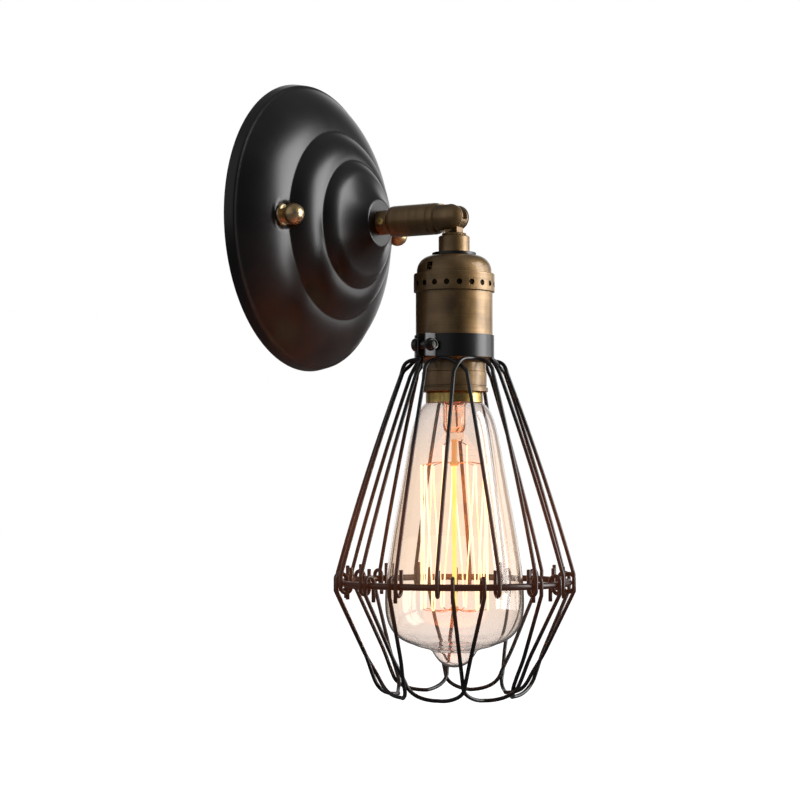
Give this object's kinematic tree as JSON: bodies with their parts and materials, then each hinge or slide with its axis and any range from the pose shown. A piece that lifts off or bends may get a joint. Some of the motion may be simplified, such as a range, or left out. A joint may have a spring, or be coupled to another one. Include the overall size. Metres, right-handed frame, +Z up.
{
  "type": "cage wall light",
  "caption": "Wall light: rippled round canopy, short arm with a slotted swivel knuckle, brass lamp socket and a filament bulb inside a wire cage hooked to a ring",
  "frame": {"origin": "centre of the two wall screw slots, on the wall face of the bracket", "axes": "+Y points into the wall, the arm stands out along -Y, +Z is up along the hanging head and +X completes the right-handed set, along the bracket"},
  "size_m": [0.1385, 0.1373, 0.2905],
  "materials": {
    "black_satin_paint": "satin black powder coat on steel",
    "antique_brass": "antique brass, turned and lacquered, dark brown in the recesses",
    "polished_brass": "bright polished brass",
    "zinc_plated_steel": "zinc plated mild steel",
    "blackened_screw_steel": "black oxide steel screws",
    "green_ground_screw": "green marked ground screw",
    "glazed_porcelain": "glazed porcelain socket body",
    "fibre_liner": "pressed fibre insulating liner",
    "black_cap_glass": "black vitrite ring under the bulb's contact",
    "clear_glass": "thin clear bulb glass",
    "carbon_filament": "glowing filament"
  },
  "bodies": {
    "wall_plate": {"mounting_bracket": "zinc_plated_steel", "ground_screw": "green_ground_screw", "canopy_studs": "zinc_plated_steel", "stud_lock_nuts": "zinc_plated_steel", "canopy": "black_satin_paint", "ball_cap_nuts": "polished_brass", "nipple": "zinc_plated_steel", "nipple_nut": "zinc_plated_steel", "lock_washer": "zinc_plated_steel"},
    "arm": {"arm_stub": "antique_brass", "stub_set_screw": "blackened_screw_steel", "arm_sleeve": "antique_brass", "knuckle_clevis": "antique_brass", "pivot_screw": "blackened_screw_steel", "friction_washers": "zinc_plated_steel"},
    "head": {"knuckle_tongue": "antique_brass", "coupling": "antique_brass", "coupling_screw": "blackened_screw_steel", "socket_disc": "black_satin_paint", "socket_cap": "antique_brass", "cap_nut": "zinc_plated_steel", "socket_insulator": "glazed_porcelain", "terminal_screws": "polished_brass", "centre_contact": "polished_brass", "screw_shell": "polished_brass", "insulating_liner": "fibre_liner", "socket_shell": "antique_brass", "cage_collar": "black_satin_paint", "clamp_screw": "blackened_screw_steel", "cage_arches": "black_satin_paint", "cage_ring": "black_satin_paint", "cage_loops": "black_satin_paint", "bulb_cap": "polished_brass", "bulb_cap_insulator": "black_cap_glass", "bulb_contact": "zinc_plated_steel", "bulb_glass": "clear_glass", "bulb_stem": "clear_glass", "filament_supports": "zinc_plated_steel", "filament": "carbon_filament", "bulb_leads": "zinc_plated_steel"}
  },
  "joints": [
    {"name": "arm_swivel", "type": "hinge", "parent": "wall_plate", "child": "arm", "pos_m": [0, -0.045, 0], "axis": [0, -1, 0], "range_deg": [-90, 90]},
    {"name": "head_tilt", "type": "hinge", "parent": "arm", "child": "head", "pos_m": [0, -0.0815, 0], "axis": [-1, 0, 0], "range_deg": [-4, 90]}
  ]
}
